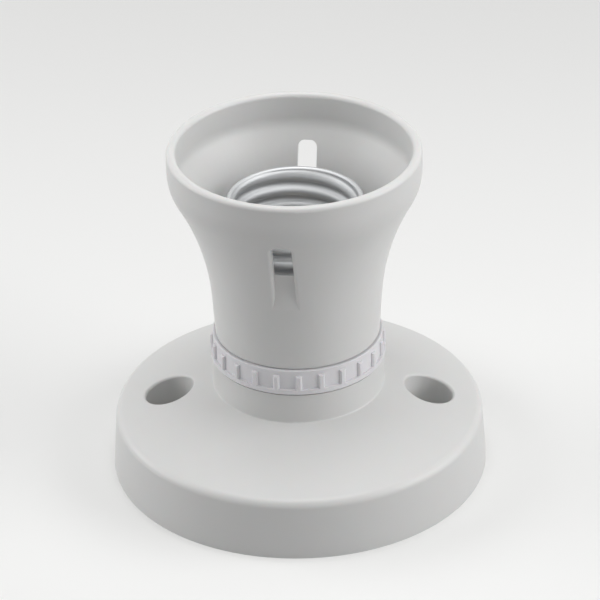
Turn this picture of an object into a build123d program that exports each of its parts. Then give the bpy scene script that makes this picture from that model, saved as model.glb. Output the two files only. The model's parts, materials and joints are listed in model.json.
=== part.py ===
from build123d import *
from math import acos, cos, hypot, radians, sin, tan
import os

# Surface-mount lamp holder for a screw lamp cap, in millimetres, +Z up.
# The mounting plane is z = 0 and the lamp goes in from above, along the axis.

# Clearances
turn_clear = 0.1
slip_clear = 0.4
tap_clear = 0.05

# How near to a surface an edge counts as lying on it
touch = 0.05

# Screw shell, the size that the rest is built round
shell_thread_r = 12.25
shell_t = 0.4
shell_foot_step = 0.35
shell_foot_h = 5.5
shell_h = 26.0
shell_rim_flare = 2.25
shell_rim_turn = 1.1
shell_bend = 0.45
shell_hole_clear = 0.6

# Insulator block
core_margin = 2.65
core_rise = 8.1
core_bevel = 0.6
core_seat_depth = 4.4
core_flange_w = 5.1
core_flange_t = 4.0
core_roof = 4.5
island_h = 1.2

# Base: a low dome with a collar, and a neck that carries the ring's thread
base_r = 40.6
base_draft = 4.1
base_edge_h = 13.0
base_edge_round = 2.0
base_wall = 2.2
collar_inset = 0.3
collar_foot_h = 19.4
collar_fillet = 0.3
collar_h = 6.8
neck_wall = 1.6
neck_h = 3.2
seat_margin = 1.6

# Screw wells in the base, on the X axis
well_spacing = 56.0
well_r = 5.2
well_wall = 2.0
well_floor = 3.0
well_round = 0.5
fixing_hole_r = 2.25

# Lock ring
ring_gap = 0.3
ring_wall = 1.0
ring_lip_h = 1.1
ring_top_lip = 1.0
ring_bevel = 0.15
rib_count = 24
rib_depth = 0.6
rib_width = 1.3
rib_drop = 1.1
rib_bevel = 0.3
rib_turn = 1.8

# Skirt: straight foot, flare, shoulder and an upright band at the mouth
skirt_wall = 2.0
skirt_flange_step = 0.2
skirt_flange_h = 1.6
skirt_groove_depth = 0.8
skirt_seam = 0.25
skirt_inset = 0.6
skirt_draft = 3.5
flare_start = 8.5
flare_lean = 29.0
flare_reach = 9.1
shoulder_r = 10.9
inner_shoulder_r = 4.5
band_h = 4.65

# Slots, cut in to one radius: open as windows above, grooves that run out below
slot_bite = 1.25
slot_width_top = 4.1
slot_width_foot = 4.4
slot_foot = 13.6
slot_h = 19.4
slot_corner = 1.4
slot_round = 0.7
slot_turn = -95.7

# Strips, contact tongue and rivets
strip_t = 0.8
strip_width = 6.4
strip_bend = 0.9
rivet_r = 1.15
rivet_head_r = 1.9
rivet_head_h = 0.9
shell_rivet_inset = 2.75
contact_rivet_inset = 2.4
tongue_t = 0.5
tongue_width = 5.0
tongue_lift = 0.6
tongue_flat = 2.2
tongue_slope = 3.2
tongue_rise = 1.95
tongue_tip = 2.0
tongue_tip_drop = 0.6
tongue_bend = 1.0

# Terminals and screws
terminal_offset = 3.2
washer_side = 7.0
washer_t = 1.0
terminal_screw_r = 1.75
terminal_screw_bite = 3.0
terminal_head_r = 3.0
core_screw_r = 1.45
core_screw_bite = 3.2
core_screw_head_r = 2.8
core_screw_turn = 45.0
screw_head_h = 2.0
screw_head_bevel = 0.4
driver_slot_w = 0.8
driver_slot_depth = 0.9

# Angles about the axis: the neutral side faces +Y, and three rivets stand round the shell's floor
neutral_angle = 90
live_angle = -90
terminal_angles = (neutral_angle, live_angle)
shell_rivet_angles = (neutral_angle, neutral_angle + 120, neutral_angle + 240)

# Radii that follow from the shell outwards
shell_foot_r = shell_thread_r + shell_foot_step
shell_rim_r = shell_thread_r + shell_rim_flare
shell_rivet_reach = shell_thread_r - shell_rivet_inset
island_r = shell_rivet_reach - rivet_head_r - shell_hole_clear - slip_clear
contact_rivet_reach = island_r - contact_rivet_inset
core_r = shell_thread_r + core_margin
bore_r = core_r + slip_clear
core_flange_r = bore_r + core_flange_w
neck_r = bore_r + neck_wall
skirt_flange_r = neck_r + skirt_flange_step
groove_r = skirt_flange_r - skirt_groove_depth
ring_band_r = skirt_flange_r + turn_clear + ring_wall
ring_rib_r = ring_band_r + rib_depth
collar_r = ring_rib_r - collar_inset
skirt_body_r = ring_band_r - skirt_inset
mouth_r = skirt_body_r + flare_reach
pocket_width = strip_width + slip_clear
pocket_reach = shell_rivet_reach + rivet_head_r + strip_bend + strip_t
terminal_reach = pocket_reach + terminal_offset
core_screw_reach = (bore_r + core_flange_r) / 2
well_x = well_spacing / 2
boss_r = well_r + well_wall

# Heights that follow from the base upwards
core_seat = collar_foot_h - core_seat_depth
core_foot = core_seat - core_flange_t
collar_top = collar_foot_h + collar_h
neck_top = collar_top + neck_h
flange_top = neck_top + skirt_flange_h
ring_foot = collar_top + ring_gap
ring_top = flange_top + ring_top_lip
body_foot = ring_top + skirt_seam
core_top = neck_top + core_rise
roof_under = core_top - core_roof
island_top = core_top + island_h
tongue_foot = island_top + tongue_lift
tongue_top = tongue_foot + tongue_t
strip_under = roof_under - strip_t
terminal_face = core_foot - strip_t


def turned(outline):
    """Solid of revolution about Z of a closed outline drawn as (radius, height)."""
    return revolve(Plane.XZ * make_face(outline), Axis.Z)


def turned_corners(*corners):
    """Solid of revolution about Z from sharp corners given as (radius, height)."""
    return turned(Polyline(*corners, close=True))


def drum(radius, low, high, x=0.0, y=0.0):
    """Upright cylinder between two heights."""
    return Pos(x, y, (low + high) / 2) * Cylinder(radius, high - low)


def block(x_span, y_span, z_span):
    """Box between two limits on each axis."""
    spans = (x_span, y_span, z_span)
    middle = [(low + high) / 2 for low, high in spans]
    size = [high - low for low, high in spans]
    return Pos(*middle) * Box(*size)


def folded(path, thickness, width, bend):
    """Sheet strip folded along a path of (y, height) points, centred on x = 0."""
    line = FilletPolyline(*path, radius=bend)
    return extrude(Plane.YZ * trace(line, thickness), width / 2, both=True)


def around(angles, reach, make):
    """Copies of one upright solid at a reach from the axis, at each angle."""
    return [Rot(Z=angle) * Pos(reach, 0, 0) * make for angle in angles]


def opposite(angle):
    """An angle and the one across the axis from it."""
    return (angle, angle + 180)


def dome(inset):
    """Foot radius, brim corner and height-at-radius of the dome, moved in by a wall."""
    lean = tan(radians(base_draft))
    edge_r = base_r - base_edge_h * lean
    slope = (collar_foot_h - base_edge_h) / (edge_r - collar_r)
    apex_h = collar_foot_h + slope * collar_r - inset * hypot(1, slope)
    foot_r = base_r - inset * hypot(1, lean)
    corner_h = (apex_h - slope * foot_r) / (1 - slope * lean)
    corner_r = foot_r - lean * corner_h
    return foot_r, (corner_r, corner_h), lambda r: apex_h - slope * r


def make_base():
    foot_r, corner, roof = dome(0.0)
    inner_foot_r, inner_corner, ceiling = dome(base_wall)
    pad_r = core_flange_r + seat_margin
    outer = FilletPolyline(
        (0, 0), (foot_r, 0), corner, (collar_r, roof(collar_r)), (collar_r, collar_top),
        (neck_r, collar_top), (neck_r, neck_top), (0, neck_top),
        radius=(0, 0, base_edge_round, collar_fillet, 0, 0, 0, 0), close=True,
    )
    outside = turned(outer)
    hollow = turned_corners(
        (0, 0), (inner_foot_r, 0), inner_corner, (pad_r, ceiling(pad_r)),
        (pad_r, core_seat), (bore_r, core_seat), (bore_r, neck_top), (0, neck_top),
    )
    base = outside - hollow
    for x in (-well_x, well_x):
        well = drum(well_r, well_floor, neck_top, x)
        bossed = base + (drum(boss_r, 0, neck_top, x) & outside)
        base = bossed - well
        rim = new_edges(bossed, well, combined=base).sort_by(Axis.Z)[-1]
        base = fillet(rim, well_round) - drum(fixing_hole_r, 0, well_floor, x)
    pilot = drum(core_screw_r + tap_clear, core_seat, core_seat + core_screw_bite + slip_clear)
    return base - around(opposite(core_screw_turn), core_screw_reach, pilot)


def make_lock_ring():
    thread_r = neck_r + turn_clear
    recess_r = skirt_flange_r + turn_clear
    mouth = groove_r + turn_clear
    lip_top = ring_foot + ring_lip_h
    recess_foot = neck_top - turn_clear
    ring = turned_corners(
        (thread_r, ring_foot), (ring_rib_r - ring_bevel, ring_foot), (ring_rib_r, ring_foot + ring_bevel),
        (ring_rib_r, lip_top), (ring_band_r, lip_top), (ring_band_r, ring_top - ring_bevel),
        (ring_band_r - ring_bevel, ring_top), (mouth, ring_top), (mouth, flange_top),
        (recess_r, flange_top), (recess_r, recess_foot), (thread_r, recess_foot),
    )
    rib = block((recess_r, ring_rib_r), (-rib_width / 2, rib_width / 2), (lip_top, ring_top - rib_drop))
    rib = chamfer(rib.faces().sort_by(Axis.X)[-1].edges().sort_by(Axis.Z)[1:], rib_bevel)
    angles = [rib_turn + index * 360 / rib_count for index in range(rib_count)]
    return ring + around(angles, 0, rib)


def make_skirt():
    draft = radians(skirt_draft)
    lean = radians(flare_lean)
    start_r = skirt_body_r + flare_start * tan(draft)
    start_h = body_foot + flare_start
    flare_r = (mouth_r - shoulder_r * (1 - cos(lean)) - start_r) / (cos(draft) - cos(lean))
    flare_centre = (start_r + flare_r * cos(draft), start_h - flare_r * sin(draft))
    inner_r = mouth_r - skirt_wall

    def wall_side(inset, band_r, bend_r):
        """Flare arc and shoulder arc of one side of the wall, from the foot up to the band."""
        reach = flare_r + inset
        turn = acos((flare_centre[0] - band_r + bend_r) / (reach + bend_r))
        bend_h = flare_centre[1] + (reach + bend_r) * sin(turn)

        def flare(angle):
            return flare_centre[0] - reach * cos(angle), flare_centre[1] + reach * sin(angle)

        def shoulder(angle):
            return band_r - bend_r + bend_r * cos(angle), bend_h - bend_r * sin(angle)

        return [
            ThreePointArc(flare(draft), flare((draft + turn) / 2), flare(turn)),
            ThreePointArc(shoulder(turn), shoulder(turn / 2), shoulder(0)),
        ]

    outer_side = wall_side(0.0, mouth_r, shoulder_r)
    inner_side = wall_side(skirt_wall, inner_r, inner_shoulder_r)
    band_foot = outer_side[-1] @ 1
    inner_band_foot = inner_side[-1] @ 1
    rim_top = band_foot.Y + band_h
    rim_spring = rim_top - skirt_wall / 2
    inner_start = inner_side[0] @ 0
    inner_foot_r = inner_start.X - (inner_start.Y - neck_top) * tan(draft)
    foot = Polyline(
        inner_start, (inner_foot_r, neck_top), (skirt_flange_r, neck_top), (skirt_flange_r, flange_top),
        (groove_r, flange_top), (groove_r, body_foot), (skirt_body_r, body_foot), (start_r, start_h),
    )
    rim = [
        Line(band_foot, (mouth_r, rim_spring)),
        ThreePointArc((mouth_r, rim_spring), (mouth_r - skirt_wall / 2, rim_top), (inner_r, rim_spring)),
        Line((inner_r, rim_spring), inner_band_foot),
    ]
    skirt = turned([foot, *outer_side, *rim, *inner_side])

    slot_low = body_foot + slot_foot
    slot_high = slot_low + slot_h
    opening = FilletPolyline(
        (-slot_width_foot / 2, slot_low), (slot_width_foot / 2, slot_low),
        (slot_width_top / 2, slot_high), (-slot_width_top / 2, slot_high),
        radius=(0, 0, slot_corner, slot_corner), close=True,
    )
    cut = extrude(Plane.YZ * make_face(opening), mouth_r)
    cut -= drum(skirt_body_r + slot_bite, slot_low, slot_high)

    def on_flare(edge):
        """Whether an edge lies on the outer side of the flare."""
        middle = edge @ 0.5
        reach = hypot(flare_centre[0] - hypot(middle.X, middle.Y), middle.Z - flare_centre[1])
        return abs(reach - flare_r) < touch

    for slot in around(opposite(slot_turn), 0, cut):
        slotted = skirt - slot
        outer_edges = new_edges(skirt, slot, combined=slotted).filter_by(on_flare).sort_by(Axis.Z)
        run_out = outer_edges[0]
        skirt = fillet(outer_edges - [run_out], slot_round)
    return skirt


def make_insulator():
    flange = drum(core_flange_r, core_foot, core_seat)
    body = turned_corners(
        (0, core_seat), (core_r, core_seat), (core_r, core_top - core_bevel),
        (core_r - core_bevel, core_top), (0, core_top),
    )
    pad_edge = -contact_rivet_reach - turn_clear
    pad = block((-island_r, island_r), (-island_r, pad_edge), (island_top, tongue_top))
    pad &= drum(island_r, core_top, tongue_top)
    core = flange + body + drum(island_r, core_top, island_top) + pad
    for x in (-well_x, well_x):
        core -= drum(boss_r + slip_clear, core_foot, core_seat, x)
    half = pocket_width / 2
    rivet_room = rivet_head_r + slip_clear
    fold = strip_bend - strip_t / 2
    for angle, reach in ((0, shell_rivet_reach), (180, contact_rivet_reach)):
        pocket = block((-half, half), (reach - rivet_room, pocket_reach), (core_foot, roof_under))
        pocket += block((-half, half), (pocket_reach, pocket_reach + fold), (core_foot, core_foot + fold))
        core -= Rot(Z=angle) * pocket
    core -= around(shell_rivet_angles[1:], shell_rivet_reach, drum(rivet_room, core_foot, strip_under))
    core -= around(shell_rivet_angles, shell_rivet_reach, drum(rivet_r + tap_clear, strip_under, core_top))
    core -= drum(rivet_r + tap_clear, strip_under, tongue_top, 0, -contact_rivet_reach)
    screw_end = core_foot + terminal_screw_bite + slip_clear
    screw_room = drum(terminal_screw_r + slip_clear / 2, core_foot, screw_end)
    core -= around(terminal_angles, terminal_reach, screw_room)
    hole = drum(core_screw_r + slip_clear / 2, core_foot, core_seat)
    return core - around(opposite(core_screw_turn), core_screw_reach, hole)


def make_screw_shell():
    wall = shell_t / 2
    thread_foot = core_top + shell_foot_h
    rim_top = core_top + shell_h
    path = FilletPolyline(
        (island_r + shell_hole_clear, core_top + wall), (shell_foot_r + wall, core_top + wall),
        (shell_foot_r + wall, thread_foot), (shell_thread_r + wall, thread_foot + shell_foot_step * 2),
        (shell_thread_r + wall, rim_top - wall), (shell_rim_r - wall, rim_top - wall),
        (shell_rim_r - wall, rim_top - shell_rim_turn),
        radius=shell_bend,
    )
    shell = revolve(Plane.XZ * trace(path, shell_t), Axis.Z)
    hole = drum(rivet_r + tap_clear, core_top, core_top + shell_t)
    return shell - around(shell_rivet_angles, shell_rivet_reach, hole)


def make_strip(rivet_reach):
    """Brass strip on the +Y side: tab under the block's roof, leg, and foot with the terminal hole."""
    middle = strip_t / 2
    leg = pocket_reach - middle
    path = (
        (rivet_reach - rivet_head_r, roof_under - middle), (leg, roof_under - middle),
        (leg, core_foot - middle), (terminal_reach + washer_side / 2, core_foot - middle),
    )
    strip = folded(path, strip_t, strip_width, strip_bend)
    strip -= drum(rivet_r + tap_clear, strip_under, roof_under, 0, rivet_reach)
    return strip - drum(terminal_screw_r + tap_clear, terminal_face, core_foot, 0, terminal_reach)


def make_tongue():
    """Spring tongue along Y, forked at its root under the rivet's head."""
    middle = tongue_foot + tongue_t / 2
    root = -contact_rivet_reach
    crest = root + tongue_flat + tongue_slope
    path = (
        (root, middle), (root + tongue_flat, middle), (crest, middle + tongue_rise),
        (crest + tongue_tip, middle + tongue_rise - tongue_tip_drop),
    )
    tongue = folded(path, tongue_t, tongue_width, tongue_bend)
    return tongue - drum(rivet_r + turn_clear, tongue_foot, tongue_top, 0, root)


def rivet(low, high):
    """Rivet through a stack between two heights, with a domed head above and a flat upset foot."""
    bulge = (rivet_head_r**2 + rivet_head_h**2) / (2 * rivet_head_h)
    cap = Sphere(bulge) & drum(rivet_head_r, bulge - rivet_head_h, bulge)
    head = Pos(0, 0, high + rivet_head_h - bulge) * cap
    return drum(rivet_r, low, high) + head + drum(rivet_head_r, low - rivet_head_h, low)


def screw(shank_r, head_r, seat, tip):
    """Slotted screw with its head below the seat height and its shank up to the tip."""
    body = drum(shank_r, seat, tip) + drum(head_r, seat - screw_head_h, seat)
    rim = body.edges().filter_by(GeomType.CIRCLE).sort_by(Axis.Z)[0]
    body = chamfer(rim, screw_head_bevel)
    low = seat - screw_head_h
    half = driver_slot_w / 2
    return body - block((-head_r, head_r), (-half, half), (low, low + driver_slot_depth))


def make_washer():
    half = washer_side / 2
    plate = block((-half, half), (-half, half), (terminal_face - washer_t, terminal_face))
    plate = chamfer(plate.edges().filter_by(Axis.Z), washer_t)
    return plate - drum(terminal_screw_r + turn_clear, terminal_face - washer_t, terminal_face)


terminal_screw = screw(
    terminal_screw_r, terminal_head_r, terminal_face - washer_t, core_foot + terminal_screw_bite
)
core_screw = screw(core_screw_r, core_screw_head_r, core_foot, core_seat + core_screw_bite)
washer = make_washer()

nodes = {
    "base": make_base(),
    "lock_ring": make_lock_ring(),
    "skirt": make_skirt(),
    "insulator": make_insulator(),
    "screw_shell": make_screw_shell(),
    "shell_rivets": Compound(children=around(
        shell_rivet_angles, shell_rivet_reach, rivet(strip_under, core_top + shell_t))),
    "contact_rivet": Pos(0, -contact_rivet_reach, 0) * rivet(strip_under, tongue_top),
    "centre_contact": make_tongue(),
    "neutral_strip": make_strip(shell_rivet_reach),
    "live_strip": Rot(Z=180) * make_strip(contact_rivet_reach),
    "core_screws": Compound(children=around(opposite(core_screw_turn), core_screw_reach, core_screw)),
}
for name, angle in (("neutral", neutral_angle), ("live", live_angle)):
    place = Rot(Z=angle) * Pos(terminal_reach, 0, 0)
    nodes[name + "_terminal_screw"] = place * terminal_screw
    nodes[name + "_clamp_washer"] = place * washer

os.makedirs("parts", exist_ok=True)
for name, solid in nodes.items():
    export_step(solid, f"parts/{name}.step")
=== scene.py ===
import json
import math

import bpy
import numpy as np
from mathutils import Matrix, Vector


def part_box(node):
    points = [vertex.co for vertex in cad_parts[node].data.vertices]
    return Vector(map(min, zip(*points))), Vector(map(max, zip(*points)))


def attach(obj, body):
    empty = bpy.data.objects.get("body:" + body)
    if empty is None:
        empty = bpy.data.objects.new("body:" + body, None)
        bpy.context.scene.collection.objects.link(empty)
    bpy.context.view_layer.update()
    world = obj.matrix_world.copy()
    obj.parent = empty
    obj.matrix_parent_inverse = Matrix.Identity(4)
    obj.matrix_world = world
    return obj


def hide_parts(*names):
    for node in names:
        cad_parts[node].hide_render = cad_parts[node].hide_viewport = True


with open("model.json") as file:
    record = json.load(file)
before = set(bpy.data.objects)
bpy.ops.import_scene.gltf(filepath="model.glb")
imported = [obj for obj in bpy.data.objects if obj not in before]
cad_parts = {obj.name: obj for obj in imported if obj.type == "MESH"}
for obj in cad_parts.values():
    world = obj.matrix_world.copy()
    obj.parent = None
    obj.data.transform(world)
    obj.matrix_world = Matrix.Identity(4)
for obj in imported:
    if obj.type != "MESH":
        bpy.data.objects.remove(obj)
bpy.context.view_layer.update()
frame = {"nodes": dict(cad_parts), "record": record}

nodes = frame["nodes"]
scene = bpy.context.scene
MM = 0.001

# Camera, fitted to the photograph: image side and focal length in pixels, angles in degrees
IMAGE_SIDE = 600
FOCAL_PIXELS = 3283.4
SENSOR_WIDTH = 36.0
CAMERA_DISTANCE = 700 * MM
CAMERA_AZIMUTH = 1.72
CAMERA_ELEVATION = 30.33
CAMERA_ROLL = -1.16
CAMERA_NEAR = 10 * MM
CAMERA_FAR = 20.0
TARGET_HEIGHT = 38.67 * MM
TARGET_RIGHT = 0.61 * MM

# Round thread of a 27 mm screw cap, and the turn in degrees where a crest is a set way below the rim
THREAD_PITCH = 25.4 / 7 * MM
THREAD_DEPTH = 1.095 * MM
THREAD_CREST_TURN = 88.0
THREAD_CREST_BELOW_RIM = 5.4 * MM

# Lamp shell: its sheet and bends, the hole's radius, how far the foot stands out, and the rim's edge
SHELL_SHEET = 0.4 * MM
SHELL_BEND = 0.5 * MM
SHELL_FLOOR_HOLE = 7.2 * MM
SHELL_FOOT_STEP = 0.35 * MM
RIM_TURN_DOWN = 1.1 * MM
RIM_BEND = 0.3 * MM

# Ends of the thread: the lengths over which it fades, and the share of its depth that it starts with
FOOT_RUN_OUT = 1.4 * MM
RIM_RUN_OUT = 0.4 * MM
RIM_TAPER = 3.4 * MM
RIM_THREAD_SHARE = 0.4

# Mesh of the shell: columns round it, rows to each stretch, and the angle in degrees of a sharp edge
SHELL_COLUMNS = 216
SHELL_FLOOR_ROWS = 4
THREAD_ROWS = 130
FLANGE_ROWS = 3
BEND_ROWS = 9
SHARP_EDGE = 50.0

# Finishes: widths of their patterns in millimetres
FLOW_CLOUDS = 14
SATIN_PATCHES = 2.5
ROLL_LINES = 0.35
HANDLING_MARKS = 0.3

# Finishes: sway of a satin's roughness, scale of roll lines along their run, relief, reach under a skin
SATIN_SPREAD = 0.05
ROLL_LINE_DRAW = 0.06
RELIEF_DEPTH = 0.02 * MM
SKIN_REACH = 1.2 * MM

# Sockets of a Mix node that mixes two colours
MIX_SHARE = 0
MIX_FROM = 6
MIX_TO = 7
MIXED = 2

# Studio: colours of surroundings and floor, half the floor's side, and where it fades, in metres out
STUDIO_PALE = "#F4F4F2"
STUDIO_FILL = 0.22
FLOOR_SEEN = "#F6F6F5"
FLOOR_THROWN = "#B8B8B8"
FLOOR_HALF = 4.0
FLOOR_LIT = 0.16
FLOOR_PASSED = 0.6

# Lamps: the point that they face, and the sides of their boxes in metres
LAMP_AIM = (0, 0, 40 * MM)
SIDE_BOX = (0.5, 0.45)
TOP_BOX = (0.32, 0.32)


def linear(code):
    """Linear red, green, blue and alpha of an sRGB hex colour."""
    parts = [int(code[at:at + 2], 16) / 255 for at in (1, 3, 5)]
    return tuple(p / 12.92 if p <= 0.04045 else ((p + 0.055) / 1.055) ** 2.4 for p in parts) + (1.0,)


def add(tree, kind, values=None, links=None, **settings):
    """Adds one shader node, with its settings, input values and links from other nodes' outputs."""
    node = tree.nodes.new("ShaderNode" + kind)
    for name, value in settings.items():
        setattr(node, name, value)
    for socket, value in (values or {}).items():
        node.inputs[socket].default_value = value
    for socket, source in (links or {}).items():
        tree.links.new(source, node.inputs[socket])
    return node


def new_material(name):
    """An empty material with its node tree and Object coordinates."""
    material = bpy.data.materials.new(name)
    material.use_nodes = True
    tree = material.node_tree
    tree.nodes.clear()
    return material, tree, add(tree, "TexCoord").outputs["Object"]


def per_mm(size):
    """Noise scale, in waves to the metre, of a pattern whose spots are a size in millimetres across."""
    return 1 / (size * MM)


def moulded(name, pale, deep, roughness, grain, under_skin):
    """Moulded plastic: even colour with faint clouds from its flow in the mould, a satin or matt skin
    from a fine spark-eroded mould, and, where it isn't dense, a little light that goes under the skin."""
    material, tree, place = new_material(name)
    clouds = add(
        tree, "TexNoise",
        {"Scale": per_mm(FLOW_CLOUDS), "Detail": 3.0, "Roughness": 0.55},
        {"Vector": place},
    )
    tint = add(
        tree, "Mix",
        {MIX_FROM: linear(deep), MIX_TO: linear(pale)},
        {MIX_SHARE: clouds.outputs["Fac"]},
        data_type="RGBA",
    )
    patches = add(tree, "TexNoise", {"Scale": per_mm(SATIN_PATCHES), "Detail": 4.0}, {"Vector": place})
    satin = add(
        tree, "MapRange",
        {"To Min": roughness - SATIN_SPREAD, "To Max": roughness + SATIN_SPREAD},
        {"Value": patches.outputs["Fac"]},
    )
    # The mould's grain is finer than a pixel, so it is drawn at about twice its size
    pits = add(tree, "TexNoise", {"Scale": per_mm(grain), "Detail": 2.0}, {"Vector": place})
    relief = add(
        tree, "Bump", {"Strength": 0.12, "Distance": RELIEF_DEPTH}, {"Height": pits.outputs["Fac"]},
    )
    plastic = add(
        tree, "BsdfPrincipled",
        {"IOR": 1.5, "Subsurface Weight": under_skin, "Subsurface Scale": SKIN_REACH},
        {
            "Base Color": tint.outputs[MIXED],
            "Roughness": satin.outputs["Result"],
            "Normal": relief.outputs["Normal"],
        },
    )
    add(tree, "OutputMaterial", links={"Surface": plastic.outputs["BSDF"]})
    return material


def rolled_aluminium():
    """Aluminium sheet rolled into a thread: soft bright reflections, drawn out by fine lines that the
    rolls leave round the axis."""
    material, tree, place = new_material("rolled_aluminium")
    drawn = add(
        tree, "Mapping", {"Scale": (ROLL_LINE_DRAW, ROLL_LINE_DRAW, 1.0)}, {"Vector": place},
    )
    # Real roll lines are finer than a pixel, so they are drawn a few times as wide
    lines = add(
        tree, "TexNoise",
        {"Scale": per_mm(ROLL_LINES), "Detail": 3.0},
        {"Vector": drawn.outputs["Vector"]},
    )
    tint = add(
        tree, "Mix",
        {MIX_FROM: linear("#BFC1C4"), MIX_TO: linear("#D3D4D5")},
        {MIX_SHARE: lines.outputs["Fac"]},
        data_type="RGBA",
    )
    gloss = add(tree, "MapRange", {"To Min": 0.52, "To Max": 0.62}, {"Value": lines.outputs["Fac"]})
    relief = add(
        tree, "Bump", {"Strength": 0.15, "Distance": RELIEF_DEPTH}, {"Height": lines.outputs["Fac"]},
    )
    metal = add(
        tree, "BsdfPrincipled",
        {"Metallic": 1.0},
        {
            "Base Color": tint.outputs[MIXED],
            "Roughness": gloss.outputs["Result"],
            "Normal": relief.outputs["Normal"],
        },
    )
    add(tree, "OutputMaterial", links={"Surface": metal.outputs["BSDF"]})
    return material


def handled_metal(name, bright, dull, low, high, spot):
    """Pressed or plated metal: a soft shine broken by faint handling marks and dull patches. Its roughness
    runs from low on bright patches to high on dull ones."""
    material, tree, place = new_material(name)
    patches = add(
        tree, "TexNoise", {"Scale": per_mm(spot), "Detail": 5.0, "Roughness": 0.6}, {"Vector": place},
    )
    tint = add(
        tree, "Mix",
        {MIX_FROM: linear(dull), MIX_TO: linear(bright)},
        {MIX_SHARE: patches.outputs["Fac"]},
        data_type="RGBA",
    )
    gloss = add(tree, "MapRange", {"To Min": high, "To Max": low}, {"Value": patches.outputs["Fac"]})
    marks = add(tree, "TexNoise", {"Scale": per_mm(HANDLING_MARKS), "Detail": 2.0}, {"Vector": place})
    relief = add(
        tree, "Bump", {"Strength": 0.15, "Distance": RELIEF_DEPTH}, {"Height": marks.outputs["Fac"]},
    )
    metal = add(
        tree, "BsdfPrincipled",
        {"Metallic": 1.0},
        {
            "Base Color": tint.outputs[MIXED],
            "Roughness": gloss.outputs["Result"],
            "Normal": relief.outputs["Normal"],
        },
    )
    add(tree, "OutputMaterial", links={"Surface": metal.outputs["BSDF"]})
    return material


def ease(share):
    """Smooth step from 0 to 1."""
    share = np.clip(share, 0, 1)
    return share * share * (3 - 2 * share)


def bend(size, centre_r, centre_z, start, end):
    """Radii and heights along a bend of the sheet: an arc of a size about a centre, between two angles in
    degrees from outwards."""
    angle = np.radians(np.linspace(start, end, BEND_ROWS))
    return centre_r + size * np.cos(angle), centre_z + size * np.sin(angle)


def all_round(rows):
    """Rows of a section, carried round: a row with one value keeps it all the way."""
    rows = np.asarray(rows)
    if rows.ndim == 2:
        return rows
    return np.repeat(rows[:, None], SHELL_COLUMNS, axis=1)


def sheet_section(radius, height, thickness):
    """Closed section of a sheet, from the rows of its middle line: the line moved square to itself by half
    the thickness to either side, up along one side and back along the other."""
    along_r = np.gradient(radius, axis=0)
    along_z = np.gradient(height, axis=0)
    length = np.hypot(along_r, along_z)
    half = thickness / 2
    aside_r = -along_z / length * half
    aside_z = along_r / length * half
    section_r = np.concatenate([radius + aside_r, (radius - aside_r)[::-1]])
    section_z = np.concatenate([height + aside_z, (height - aside_z)[::-1]])
    return section_r, section_z


def piece_from_section(name, radius, height, material):
    """Closed smooth mesh object from a closed section carried round Z. Radius and height hold one row for
    each point of the section and one column for each step of the turn, so the section may change as it
    goes round."""
    rows, columns = radius.shape
    turn = np.linspace(0, 2 * np.pi, columns, endpoint=False)
    points = np.stack([radius * np.cos(turn), radius * np.sin(turn), height], axis=-1)
    index = np.arange(rows * columns).reshape(rows, columns)
    onward = np.roll(index, -1, axis=1)
    quads = np.stack([index, np.roll(index, -1, axis=0), np.roll(onward, -1, axis=0), onward], axis=-1)
    mesh = bpy.data.meshes.new(name)
    mesh.from_pydata(points.reshape(-1, 3).tolist(), [], quads.reshape(-1, 4).tolist())
    mesh.shade_smooth()
    mesh.set_sharp_from_angle(angle=math.radians(SHARP_EDGE))
    mesh.materials.append(material)
    piece = bpy.data.objects.new(name, mesh)
    scene.collection.objects.link(piece)
    return piece


def thread_wave(height, turn, crest_height):
    """Radial height of the round thread about its middle: arcs in and out by turns, each a quarter pitch
    to either side of its top, that meet at one slope. The crest, which stands inwards, climbs a pitch
    each turn."""
    quarter = THREAD_PITCH / 4
    half = THREAD_DEPTH / 2
    arc = (quarter ** 2 + half ** 2) / (2 * half)
    crest = crest_height + THREAD_PITCH * (turn - math.radians(THREAD_CREST_TURN)) / (2 * np.pi)
    past = np.mod(height - crest + quarter, THREAD_PITCH) - quarter
    inwards = past < quarter
    from_top = np.where(inwards, past, past - 2 * quarter)
    bulge = half - arc + np.sqrt(arc ** 2 - from_top ** 2)
    return np.where(inwards, -bulge, bulge)


def shell_thread(height, crest_height, crest_r, foot_r):
    """Radii of the sheet's middle through the thread, one row for each height from foot to rim: the wave
    about the middle of crest and root, eased into the foot's radius below. Above it is eased into the
    root, and under the rim it starts shallow, so that the mouth stays open for the cap."""
    turn = np.linspace(0, 2 * np.pi, SHELL_COLUMNS, endpoint=False)
    waved_r = crest_r + THREAD_DEPTH / 2 + thread_wave(height[:, None], turn[None, :], crest_height)
    from_foot = ease((height - height[0]) / FOOT_RUN_OUT)[:, None]
    below_rim = height[-1] - height
    taper = RIM_THREAD_SHARE + (1 - RIM_THREAD_SHARE) * ease(below_rim / RIM_TAPER)
    from_rim = (taper * ease(below_rim / RIM_RUN_OUT))[:, None]
    thread_r = foot_r + (waved_r - foot_r) * from_foot
    root_r = crest_r + THREAD_DEPTH
    return root_r + (thread_r - root_r) * from_rim


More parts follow.
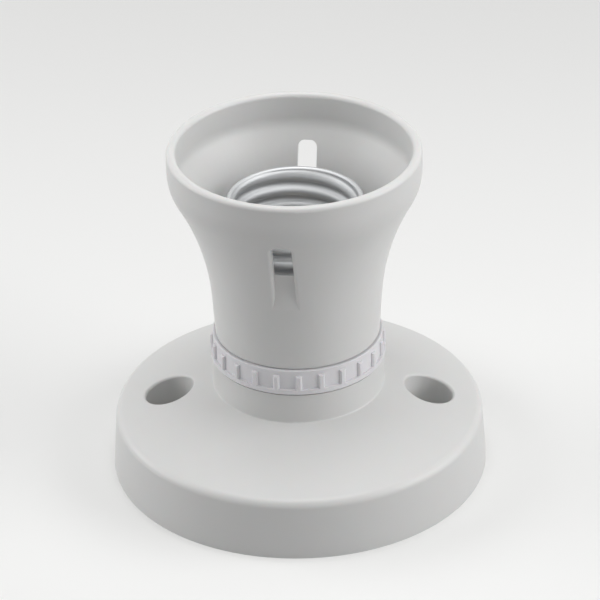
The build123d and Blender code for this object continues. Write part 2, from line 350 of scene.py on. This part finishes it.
def make_screw_shell(material):
    """Lamp shell of thin sheet: the middle of the sheet runs from the hole in the floor, up the foot,
    through the rolled thread, and over a narrow rim to a turned-down edge. It stands in the box of the
    plain shell, at the radius and height of the lamp socket."""
    low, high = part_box("screw_shell")
    lamp_socket = next(m for m in frame["record"]["mounts"] if m["name"] == "lamp_socket")
    half_sheet = SHELL_SHEET / 2
    crest_r = lamp_socket["dims"]["r_mm"] * MM + half_sheet
    root_r = crest_r + THREAD_DEPTH
    foot_r = crest_r + SHELL_FOOT_STEP
    rim_r = high.x - half_sheet
    floor_z = low.z + half_sheet
    top_z = high.z - half_sheet
    thread_low = lamp_socket["pos_m"][2] - lamp_socket["dims"]["length_mm"] * MM / 2
    thread_top = top_z - RIM_BEND

    floor_bend = bend(SHELL_BEND, foot_r - SHELL_BEND, floor_z + SHELL_BEND, -90, 0)
    rim_bend_r, rim_bend_z = bend(RIM_BEND, root_r + RIM_BEND, thread_top, 180, 90)
    edge_bend = bend(RIM_BEND, rim_r - RIM_BEND, thread_top, 90, 0)
    floor_r = np.linspace(SHELL_FLOOR_HOLE, floor_bend[0][0], SHELL_FLOOR_ROWS)[:-1]
    flange_r = np.linspace(rim_bend_r[-1], edge_bend[0][0], FLANGE_ROWS)[1:-1]
    thread_z = np.linspace(thread_low - FOOT_RUN_OUT, thread_top, THREAD_ROWS)
    thread_r = shell_thread(thread_z, high.z - THREAD_CREST_BELOW_RIM, crest_r, foot_r)
    stretches = [
        (floor_r, np.full_like(floor_r, floor_z)),
        floor_bend,
        (thread_r, thread_z),
        (rim_bend_r[1:], rim_bend_z[1:]),
        (flange_r, np.full_like(flange_r, top_z)),
        edge_bend,
        ([rim_r], [high.z - RIM_TURN_DOWN]),
    ]
    middle_r = np.concatenate([all_round(radii) for radii, heights in stretches])
    middle_z = np.concatenate([all_round(heights) for radii, heights in stretches])
    section_r, section_z = sheet_section(middle_r, middle_z, SHELL_SHEET)
    shell = piece_from_section("rolled_screw_shell", section_r, section_z, material)
    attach(shell, "base")
    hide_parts("screw_shell")


def dress(material, *names):
    """Gives CAD nodes their finish."""
    for name in names:
        slots = nodes[name].data.materials
        slots.clear()
        slots.append(material)


def make_camera():
    """Camera at the photograph's angle, with its small lean, and no shift."""
    azimuth = math.radians(CAMERA_AZIMUTH)
    elevation = math.radians(CAMERA_ELEVATION)
    roll = math.radians(CAMERA_ROLL)
    level = Vector((math.cos(azimuth), math.sin(azimuth), 0))
    outward = Vector((math.sin(azimuth), -math.cos(azimuth), 0))
    back = outward * math.cos(elevation) + Vector((0, 0, math.sin(elevation)))
    rise = back.cross(level)
    right = level * math.cos(roll) + rise * math.sin(roll)
    up = rise * math.cos(roll) - level * math.sin(roll)
    place = Vector((0, 0, TARGET_HEIGHT)) + level * TARGET_RIGHT + back * CAMERA_DISTANCE
    data = bpy.data.cameras.new("camera")
    data.sensor_width = SENSOR_WIDTH
    data.lens = FOCAL_PIXELS * SENSOR_WIDTH / IMAGE_SIDE
    data.clip_start = CAMERA_NEAR
    data.clip_end = CAMERA_FAR
    camera = bpy.data.objects.new("camera", data)
    camera.matrix_world = Matrix.Translation(place) @ Matrix((right, up, back)).transposed().to_4x4()
    scene.collection.objects.link(camera)
    scene.camera = camera


def make_light(name, place, sides, power):
    """Soft rectangular studio lamp at a place, turned to the object."""
    data = bpy.data.lights.new(name, "AREA")
    data.shape = "RECTANGLE"
    data.size, data.size_y = sides
    data.energy = power
    lamp = bpy.data.objects.new(name, data)
    lamp.location = place
    lamp.rotation_euler = (Vector(LAMP_AIM) - Vector(place)).to_track_quat("-Z", "Y").to_euler()
    scene.collection.objects.link(lamp)


def seen_rays(tree):
    """One where a ray comes from the camera, a reflection or a clear body, and nought for scattered
    light."""
    rays = add(tree, "LightPath").outputs
    direct = add(
        tree, "Math", links={0: rays["Is Camera Ray"], 1: rays["Is Glossy Ray"]}, operation="MAXIMUM",
    )
    seen = add(
        tree, "Math",
        links={0: direct.outputs["Value"], 1: rays["Is Transmission Ray"]},
        operation="MAXIMUM",
    )
    return seen.outputs["Value"]


def make_floor():
    """Plain pale floor that takes the object's shadow, throws about half of the light back up, and
    passes into the pale studio away from the object, so that no edge of the lamps' light shows."""
    material, tree, place = new_material("pale_studio_floor")
    seen = seen_rays(tree)
    tone = add(
        tree, "Mix",
        {MIX_FROM: linear(FLOOR_THROWN), MIX_TO: linear(FLOOR_SEEN)},
        {MIX_SHARE: seen},
        data_type="RGBA",
    )
    shade = add(tree, "BsdfDiffuse", links={"Color": tone.outputs[MIXED]})
    reach = add(tree, "VectorMath", links={0: place}, operation="LENGTH")
    away = add(
        tree, "MapRange",
        {"From Min": FLOOR_LIT, "From Max": FLOOR_PASSED},
        {"Value": reach.outputs["Value"]},
        interpolation_type="SMOOTHSTEP",
    )
    share = add(tree, "Math", links={0: away.outputs["Result"], 1: seen}, operation="MULTIPLY")
    studio = add(tree, "Emission", {"Color": linear(STUDIO_PALE), "Strength": 1.0})
    joined = add(
        tree, "MixShader",
        links={0: share.outputs["Value"], 1: shade.outputs["BSDF"], 2: studio.outputs["Emission"]},
    )
    add(tree, "OutputMaterial", links={"Surface": joined.outputs["Shader"]})
    mesh = bpy.data.meshes.new("floor")
    corners = [
        (-FLOOR_HALF, -FLOOR_HALF, 0), (FLOOR_HALF, -FLOOR_HALF, 0),
        (FLOOR_HALF, FLOOR_HALF, 0), (-FLOOR_HALF, FLOOR_HALF, 0),
    ]
    mesh.from_pydata(corners, [], [(0, 1, 2, 3)])
    mesh.materials.append(material)
    floor = bpy.data.objects.new("floor", mesh)
    scene.collection.objects.link(floor)


def make_world():
    """Even dim light from all round, which the camera and reflections see as a pale studio."""
    world = bpy.data.worlds.new("studio")
    scene.world = world
    world.use_nodes = True
    tree = world.node_tree
    tree.nodes.clear()
    dim = add(tree, "Background", {"Color": linear("#FFFFFF"), "Strength": STUDIO_FILL})
    pale = add(tree, "Background", {"Color": linear(STUDIO_PALE), "Strength": 1.0})
    sky = add(
        tree, "MixShader",
        links={0: seen_rays(tree), 1: dim.outputs["Background"], 2: pale.outputs["Background"]},
    )
    add(tree, "OutputWorld", links={"Surface": sky.outputs["Shader"]})


# ABS from a fine mould: an even soft white with a satin sheen
white = moulded("moulded_abs_white", "#DFDFDE", "#DBDBDA", roughness=0.4, grain=0.5, under_skin=0.06)
# ABS of the ring: a little lighter and cooler than the rest
ring_white = moulded(
    "moulded_abs_cool_white", "#EAE9EC", "#E4E3E6", roughness=0.38, grain=0.5, under_skin=0.06,
)
# Urea, as insulating blocks are: matt cream with a coarser skin
core_white = moulded(
    "moulded_urea_matt_cream", "#D9D5C9", "#D0CBBD", roughness=0.6, grain=0.7, under_skin=0.0,
)
# Rolled sheet: pale grey with soft bright bands along the thread
aluminium = rolled_aluminium()
# Brass pressed from strip: warm yellow, half bright
brass = handled_metal("pressed_brass", "#CDB06C", "#A98A50", low=0.3, high=0.48, spot=3.0)
# Zinc on steel: cool grey, with duller patches
zinc = handled_metal("zinc_plated_steel", "#CFD1D3", "#AFB2B6", low=0.25, high=0.45, spot=2.0)

dress(white, "base", "skirt")
dress(ring_white, "lock_ring")
dress(core_white, "insulator")
dress(brass, "shell_rivets", "contact_rivet", "centre_contact", "neutral_strip", "live_strip")
dress(zinc, "core_screws", "neutral_terminal_screw", "live_terminal_screw")
dress(zinc, "neutral_clamp_washer", "live_clamp_washer")
dress(aluminium, "screw_shell")
make_screw_shell(aluminium)

make_floor()
make_world()
make_light("left_softbox", (-0.56, 0.05, 0.26), SIDE_BOX, power=1.69)
make_light("right_softbox", (0.54, -0.12, 0.26), SIDE_BOX, power=2.06)
make_light("top_softbox", (0.0, 0.0, 0.5), TOP_BOX, power=1.14)
make_camera()
scene.view_settings.view_transform = "Standard"
